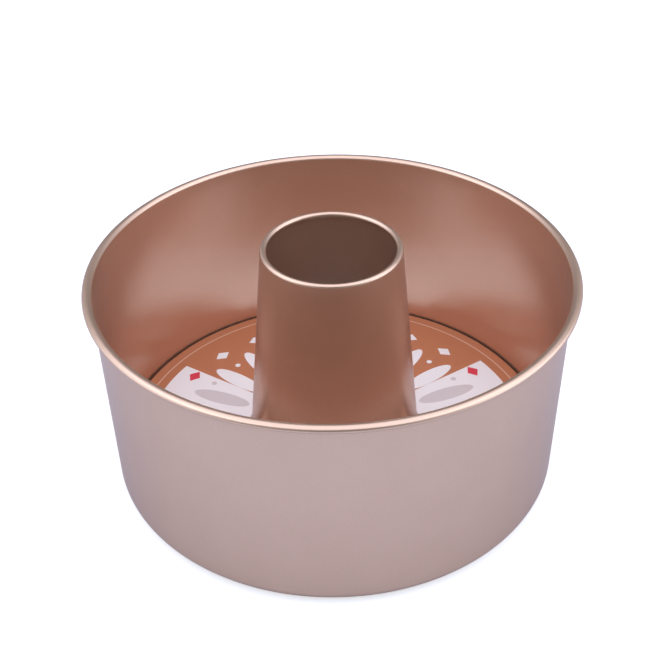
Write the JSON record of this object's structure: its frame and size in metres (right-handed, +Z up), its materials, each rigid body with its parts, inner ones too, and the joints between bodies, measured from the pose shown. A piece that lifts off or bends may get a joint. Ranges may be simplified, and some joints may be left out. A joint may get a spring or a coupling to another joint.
{
  "type": "angel food cake pan",
  "caption": "Round tube pan with a rolled rim; its base and tapered chimney lift out of the ring, and a loose printed card lies on the base.",
  "frame": {"origin": "centre of the ring's underside, on the surface that the pan stands on", "axes": "+Z up along the axis of the ring and the tube; X and Y are alike, and the picture looks along +Y"},
  "size_m": [0.25, 0.25, 0.127],
  "materials": {
    "coated_steel": "satin rose-bronze non-stick coating",
    "steel_wire": "bare drawn wire",
    "printed_card": "matt print on card"
  },
  "bodies": {
    "ring": {"pan_ring": "coated_steel", "rim_wire": "steel_wire"},
    "base": {"base_disc": "coated_steel", "centre_tube": "coated_steel"},
    "card": {"label_card": "printed_card"}
  },
  "joints": [
    {"name": "base_lift", "type": "slide", "parent": "ring", "child": "base", "axis": [0, 0, 1], "range_m": [0, 0.125]},
    {"name": "card_lift", "type": "slide", "parent": "base", "child": "card", "axis": [0, 0, 1], "range_m": [0, 0.13]}
  ]
}
